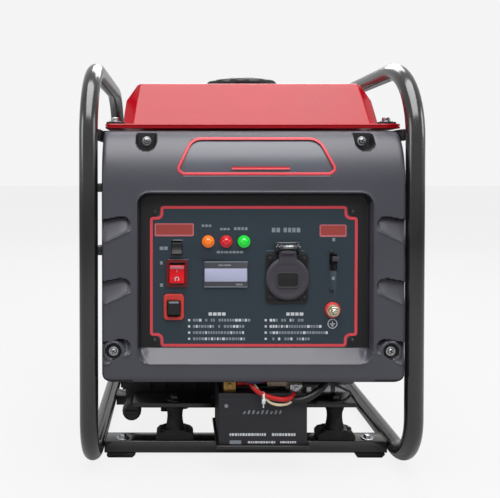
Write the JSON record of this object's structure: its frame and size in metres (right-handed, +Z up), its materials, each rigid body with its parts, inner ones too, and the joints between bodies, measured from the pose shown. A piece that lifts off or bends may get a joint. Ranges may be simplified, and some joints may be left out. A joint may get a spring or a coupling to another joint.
{
  "type": "open-frame inverter generator",
  "caption": "Open-frame inverter generator: two tube hoops, red fuel tank, moulded control panel, recoil and electric start engine, battery and rubber feet.",
  "frame": {"origin": "centre of the footprint at floor level, under the rubber feet", "axes": "+Z up, +X to the right seen from the control panel, the control panel faces -Y"},
  "size_m": [0.408, 0.402, 0.508],
  "materials": {
    "black_paint": "satin black powder coat on steel",
    "red_paint": "gloss red enamel on pressed steel",
    "charcoal_plastic": "fine-grained moulded plastic",
    "black_plastic": "moulded black plastic",
    "red_plastic": "gloss red switch plastic",
    "black_rubber": "moulded rubber",
    "cast_alloy": "sand cast and blasted",
    "dark_casting": "black paint on cast alloy",
    "steel": "machined",
    "zinc_steel": "heat-resistant grey paint",
    "copper_winding": "varnished windings on a laminated core",
    "brass": "machined",
    "face_print": "screen-printed sheet",
    "strainer_plastic": "natural nylon mesh",
    "lens_orange": "moulded lens",
    "lens_red": "moulded lens",
    "lens_green": "moulded lens",
    "red_cable": "PVC insulation"
  },
  "bodies": {
    "frame": {"hoop_left": "black_paint", "hoop_right": "black_paint", "rail_front": "black_paint", "rail_middle": "black_paint", "rail_rear": "black_paint", "engine_bed_plate": "black_paint", "valve_cover": "black_paint", "muffler_guard": "black_paint", "battery_tray": "black_paint", "fuel_tank": "red_paint", "panel_housing": "charcoal_plastic", "air_filter_box": "charcoal_plastic", "fan_shroud": "charcoal_plastic", "recoil_cover": "charcoal_plastic", "meter": "black_plastic", "outlet_socket": "black_plastic", "battery": "black_plastic", "start_switch_frame": "red_plastic", "reset_frame": "red_plastic", "foot_front_left": "black_rubber", "foot_front_right": "black_rubber", "foot_rear_left": "black_rubber", "foot_rear_right": "black_rubber", "engine_mount_front_left": "black_rubber", "engine_mount_front_right": "black_rubber", "engine_mount_rear_left": "black_rubber", "engine_mount_rear_right": "black_rubber", "spark_plug_cap": "black_rubber", "fuel_hose": "black_rubber", "battery_lead_negative": "black_rubber", "cylinder": "cast_alloy", "cylinder_head": "cast_alloy", "carburettor": "cast_alloy", "fuel_cock": "cast_alloy", "inverter_module": "cast_alloy", "crankcase": "dark_casting", "starter_motor": "steel", "muffler": "zinc_steel", "alternator_stator": "copper_winding", "earth_stud": "brass", "face_plate": "face_print", "fuel_strainer": "strainer_plastic", "pilot_lamp_orange": "lens_orange", "pilot_lamp_red": "lens_red", "pilot_lamp_green": "lens_green", "battery_lead_positive": "red_cable"},
    "crank": {"crankshaft": "steel", "alternator_rotor": "dark_casting"},
    "pulley": {"recoil_pulley": "black_plastic"},
    "handle": {"pull_handle": "black_plastic"},
    "filler_cap": {"fuel_cap": "black_plastic"},
    "cock_lever": {"fuel_cock_lever": "red_plastic"},
    "choke": {"choke_lever": "black_plastic"},
    "oil_cap": {"oil_dipstick": "black_plastic"},
    "socket_lid": {"outlet_lid": "charcoal_plastic"},
    "breaker": {"breaker_toggle": "black_plastic"},
    "start_switch": {"start_rocker": "red_plastic"},
    "economy_switch": {"economy_rocker": "black_plastic"},
    "reset": {"reset_button": "black_plastic"},
    "terminal_nut": {"earth_nut": "brass"}
  },
  "joints": [
    {"name": "crank_turn", "type": "hinge", "parent": "frame", "child": "crank", "pos_m": [0, -0.015, 0.172], "axis": [1, 0, 0], "continuous": true},
    {"name": "handle_pull", "type": "slide", "parent": "frame", "child": "handle", "axis": [1, 0, 0], "range_m": [0, 0.55], "stiffness_N_per_m": 15},
    {"name": "pulley_turn", "type": "hinge", "parent": "frame", "child": "pulley", "pos_m": [0.137, -0.015, 0.172], "axis": [1, 0, 0], "range_deg": [-1, 705]},
    {"name": "cap_turn", "type": "hinge", "parent": "frame", "child": "filler_cap", "pos_m": [0.003, -0.04, 0.49], "axis": [0, 0, 1], "range_deg": [0, 90]},
    {"name": "cock_turn", "type": "hinge", "parent": "frame", "child": "cock_lever", "pos_m": [-0.14, -0.088, 0.367], "axis": [1, 0, 0], "range_deg": [0, 90]},
    {"name": "choke_turn", "type": "hinge", "parent": "frame", "child": "choke", "pos_m": [-0.153, 0.136, 0.219], "axis": [1, 0, 0], "range_deg": [0, 60]},
    {"name": "dipstick_draw", "type": "slide", "parent": "frame", "child": "oil_cap", "axis": [0, -1, 0], "range_m": [0, 0.06]},
    {"name": "lid_swing", "type": "hinge", "parent": "frame", "child": "socket_lid", "pos_m": [0.0425, -0.193, 0.278], "axis": [-1, 0, 0], "range_deg": [0, 120], "stiffness_Nm_per_rad": 0.02, "springref_deg": -17.19},
    {"name": "breaker_throw", "type": "hinge", "parent": "frame", "child": "breaker", "pos_m": [0.0977, -0.179, 0.259], "axis": [-1, 0, 0], "range_deg": [-32, 0]},
    {"name": "start_rock", "type": "hinge", "parent": "frame", "child": "start_switch", "pos_m": [-0.0885, -0.1785, 0.2463], "axis": [-1, 0, 0], "range_deg": [0, 12]},
    {"name": "economy_rock", "type": "hinge", "parent": "frame", "child": "economy_switch", "pos_m": [-0.0887, -0.1795, 0.2763], "axis": [-1, 0, 0], "range_deg": [0, 12]},
    {"name": "reset_push", "type": "slide", "parent": "frame", "child": "reset", "axis": [0, 1, 0], "range_m": [0, 0.003], "stiffness_N_per_m": 800},
    {"name": "nut_turn", "type": "hinge", "parent": "frame", "child": "terminal_nut", "pos_m": [0.097, -0.193, 0.2024], "axis": [0, -1, 0], "continuous": true}
  ],
  "couplings": [
    {"joint": "pulley_turn", "follows": "handle_pull", "rad_per_m": 22.222}
  ]
}
